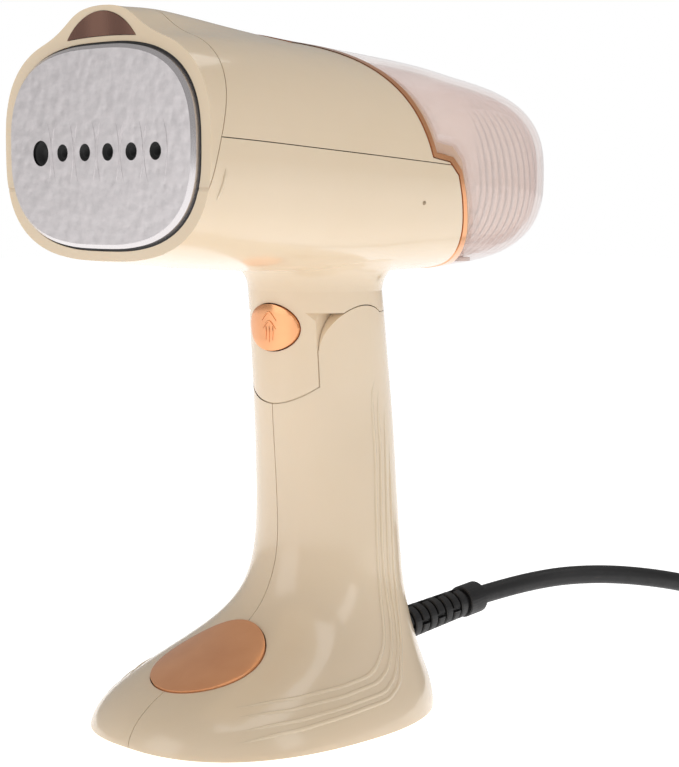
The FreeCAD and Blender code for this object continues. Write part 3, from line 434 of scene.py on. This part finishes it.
# Contour ridges down the rear of the grip and round the foot.
RIDGES = [
    [(20, 39, 125), (23, 32, 122), (23.5, 28, 116), (23.5, 28.7, 108), (24, 29.3, 95), (26, 28, 60),
     (28, 28, 45), (31, 26.2, 35), (35, 23, 28), (38.4, 17, 23), (41, 10, 19.3), (41.3, -5, 18),
     (38, -23, 16.8), (29.5, -40, 15.4), (19, -49, 14.4)],
    [(20.6, 39, 121.4), (23.2, 32.5, 118), (23.3, 31.5, 110), (23.7, 32.3, 94.5), (26.4, 30.5, 60),
     (28, 31, 44), (31, 30.2, 34.4), (36, 26, 26), (40.4, 19, 19.4), (42.8, 11, 16.6),
     (43.4, -7, 15.2), (40, -27, 14), (32, -42, 12.9), (21.8, -51, 12)],
    [(20, 40.5, 118), (22.4, 36, 111), (23.2, 35.3, 94.5), (26.2, 33.6, 59), (27.8, 34, 43.5),
     (30.6, 33.4, 34), (36, 29.5, 25), (41.4, 22, 17.3), (44.9, 13, 13.4), (45.6, -9, 12.2),
     (43, -27, 10.8), (35, -45, 9.3), (25, -54, 8.5)],
    [(21, 39.6, 106), (22.4, 38.2, 94), (25.5, 36.9, 58.5), (27, 37.2, 43), (30, 35.6, 34),
     (34.8, 32, 25.6), (42.6, 23, 14.6), (46.3, 13, 11), (47, -9, 9.8), (44.8, -27, 8.3),
     (37, -47, 6.2), (27, -56, 5.4)],
]
shell = surface_of("handle_shell_left", "handle_shell_right")
for number, ridge in enumerate(RIDGES):
    for side, word in ((1, "right"), (-1, "left")):
        spots = [on_surface(shell, (side * p.x, p.y, p.z), 0.00042) for p in dense(ridge, 44)]
        line_piece("contour_%s_%d" % (word, number), spots, 0.0009, CREAM, "handle")

# A short raised arc and a pip on each side of the barrel.
barrel = surface_of("barrel_lower_shell", "barrel_upper_shell", "front_bezel")
BARREL_SIDE = 53
PIP = plain("pip_shade", (176, 156, 130), 0.5)
for side, word in ((1, "right"), (-1, "left")):
    spots = []
    for step in range(7):
        near = Vector((side * BARREL_SIDE, -66.2 - 2.2 * step * step / 36, 191.5 - 1.7 * step))
        spots.append(barrel.find_nearest(near * MM)[0])
    line_piece("latch_arc_" + word, spots, 0.0006, CREAM, "head")
    pip = barrel.find_nearest(Vector((side * BARREL_SIDE, 27, 180)) * MM)[0]
    mesh_piece("pip_" + word, lambda made: bmesh.ops.create_uvsphere(
        made, u_segments=16, v_segments=10, radius=0.0007, matrix=Matrix.Translation(pip)),
        PIP, "head")

# Faint arcs beside each steam hole, and a near-black cup set into it: painted shade for the dark inside
# of the hole.
hole_z, hole_pitch = 0.1971, 0.0118
for number in range(6):
    across = (number - 2.5) * hole_pitch
    for side in (1, -1):
        if number == 0 and side == -1:
            continue
        spots = [(across + side * (0.0056 - 0.0022 * (step / 5) ** 2), face_at + 0.00012,
                  hole_z + 0.0022 * step) for step in range(-5, 6)]
        line_piece("plate_arc_%d_%s" % (number, "r" if side > 0 else "l"), spots, 0.00028,
                   LOOKS["plate_aluminium"], "head")
    wide = 0.0041 if number == 0 else 0.00185

    # Painted shade: a near-black cup sunk into each hole where only shade would be seen.
    def hole_shade_cup(made, across=across, wide=wide):
        rings = [(wide, 0.0008), (wide * 0.82, 0.0008), (wide * 0.7, 0.0026)]
        loops = []
        for radius, depth in rings:
            loops.append([made.verts.new((across + radius * math.cos(2 * math.pi * k / 32),
                                          face_at + depth,
                                          hole_z + radius * math.sin(2 * math.pi * k / 32)))
                          for k in range(32)])
        for first, second in zip(loops, loops[1:]):
            for k in range(32):
                made.faces.new((first[k], first[(k + 1) % 32], second[(k + 1) % 32], second[k]))
        made.faces.new(loops[-1])

    mesh_piece("nozzle_%d" % number, hole_shade_cup, HOLE_SHADE, "head")

# A raised steam mark on the steam button: three wisps under an arrow head.
button = surface_of("steam_button")


def on_button(across, height):
    spot = button.ray_cast(Vector((across * MM, -0.03, height * MM)), Vector((0, 1, 0)))[0]
    return spot + Vector((0, -0.0001, 0))


button_middle = 137.6
MARK = [[(-3.6, 2.2), (-1.8, 4.3), (0, 6.2), (1.8, 4.3), (3.6, 2.2)],
        [(-3.2, -0.6), (-1.6, 1.2), (0, 3.0), (1.6, 1.2), (3.2, -0.6)]]
for across in (-1.7, 0, 1.7):
    MARK.append([(across, 0.4), (across + 0.45, -1.4), (across - 0.45, -3.4),
                 (across, -5.4 + abs(across) * 0.5)])
for number, strokes in enumerate(MARK):
    line_piece("steam_mark_%d" % number, [on_button(x, button_middle + z) for x, z in strokes], 0.0003,
               COPPER, "steam_button")

# The ribbed boot round the cord: rings with staggered slots on a slim core, and an end collar.
BOOT_ROOT = Vector((0, 0.058, 0.0197))
BOOT_WAY = Matrix.Rotation(math.radians(-84.2), 4, "X")


def ring_slice(made, start, end, inner, outer, low, high, steps=16):
    """Part of a thick ring between two angles, with slightly rounded outer edges."""
    soft = 0.0004
    outline = [(inner, start), (outer - soft, start), (outer, start + soft), (outer, end - soft),
               (outer - soft, end), (inner, end)]
    sections = []
    for step in range(steps + 1):
        angle = low + (high - low) * step / steps
        sections.append([made.verts.new(BOOT_ROOT + (BOOT_WAY @ Vector(
            (radius * math.cos(angle), radius * math.sin(angle), along)))) for radius, along in outline])
    count = len(outline)
    full = abs(high - low - 2 * math.pi) < 1e-6
    for first, second in zip(sections, sections[1:]):
        for k in range(count):
            made.faces.new((first[k], first[(k + 1) % count], second[(k + 1) % count], second[k]))
    if full:
        bmesh.ops.remove_doubles(made, verts=made.verts, dist=1e-6)
    else:
        made.faces.new(sections[0])
        made.faces.new(list(reversed(sections[-1])))


def boot(made):
    ring_slice(made, -0.004, 0.0505, 0.0036, 0.0045, 0, 2 * math.pi, 32)
    for number in range(10):
        start = -0.0005 + 0.0045 * number
        outer = 0.0064 - 0.00008 * number
        turn = math.pi / 2 * (number % 2)
        for half in range(2):
            low = turn + math.pi * half + 0.14
            ring_slice(made, start, start + 0.0036, 0.0038, outer, low, low + math.pi - 0.28)
    ring_slice(made, 0.0452, 0.0545, 0.0037, 0.0062, 0, 2 * math.pi, 32)


boot_piece = mesh_piece("cord_boot", boot, BLACK, "handle")
for polygon in boot_piece.data.polygons:
    polygon.use_smooth = False
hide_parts("strain_relief")


def softened(name, width, body="handle", flatten=True):
    """A copy of a CAD node with rounded edges, shown in its place."""
    copy = bpy.data.objects.new(name + "_soft", nodes[name].data.copy())
    bpy.context.scene.collection.objects.link(copy)
    weld = copy.modifiers.new("weld", "WELD")
    weld.merge_threshold = 0.00001
    if flatten:
        flat = copy.modifiers.new("flat", "DECIMATE")
        flat.decimate_type = "DISSOLVE"
        flat.angle_limit = math.radians(3)
    edge = copy.modifiers.new("edge", "BEVEL")
    edge.width, edge.segments, edge.angle_limit = width, 3, math.radians(40)
    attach(copy, body)
    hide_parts(name)
    return copy


plug_soft = softened("plug_body", 0.0022)
tie_soft = softened("cord_tie", 0.0005)
for name in ("power_button", "steam_button"):
    softened(name, 0.0006, name, False)
BRIGHT = copper("foot_copper")
bpy.data.objects["power_button_soft"].data.materials[0] = BRIGHT
BRIGHT.node_tree.nodes["Principled BSDF"].inputs["Metallic"].default_value = 0.45
nodes["fill_plug"].data.materials[0] = plain("plug_rose", (216, 196, 186), 0.4)

# ---------------------------------------------------------------- light and floor

floor_mesh = bpy.data.meshes.new("floor")
floor_mesh.from_pydata([(-4, -4, 0), (4, -4, 0), (4, 4, 0), (-4, 4, 0)], [], [(0, 1, 2, 3)])
floor = bpy.data.objects.new("floor", floor_mesh)
bpy.context.scene.collection.objects.link(floor)
pale = plain("floor_pale", (250, 250, 250), 0.9)
pale.node_tree.nodes["Principled BSDF"].inputs["Emission Color"].default_value = (1, 1, 1, 1)
pale.node_tree.nodes["Principled BSDF"].inputs["Emission Strength"].default_value = 0.74
floor.data.materials.append(pale)

world = bpy.data.worlds.new("studio")
world.use_nodes = True
tree = world.node_tree
sky = tree.nodes["Background"]
sky.inputs["Strength"].default_value = 0.34
backdrop = tree.nodes.new("ShaderNodeBackground")
backdrop.inputs["Strength"].default_value = 1.0
chooser = tree.nodes.new("ShaderNodeMixShader")
rays = tree.nodes.new("ShaderNodeLightPath")
tree.links.new(rays.outputs["Is Camera Ray"], chooser.inputs[0])
tree.links.new(sky.outputs[0], chooser.inputs[1])
tree.links.new(backdrop.outputs[0], chooser.inputs[2])
tree.links.new(chooser.outputs[0], tree.nodes["World Output"].inputs[0])
sky.inputs["Color"].default_value = (1, 1, 1, 1)
backdrop.inputs["Color"].default_value = (1, 1, 1, 1)
bpy.context.scene.world = world


def soft_box(name, at, aim, width, height, power):
    data = bpy.data.lights.new(name, "AREA")
    data.shape = "RECTANGLE"
    data.size, data.size_y = width, height
    data.energy = power
    lamp = bpy.data.objects.new(name, data)
    lamp.location = at
    lamp.rotation_euler = (Vector(aim) - Vector(at)).to_track_quat("-Z", "Y").to_euler()
    bpy.context.scene.collection.objects.link(lamp)


CENTRE = (0, 0, 0.13)
soft_box("key", (1.1, 0.1, 0.75), CENTRE, 0.35, 0.9, 1.7)
soft_box("front", (-0.5, -1.1, 0.5), CENTRE, 0.7, 0.9, 2.5)
soft_box("top", (0.1, 0.1, 1.3), CENTRE, 0.9, 0.9, 4.4)

bpy.context.scene.view_settings.view_transform = "Standard"
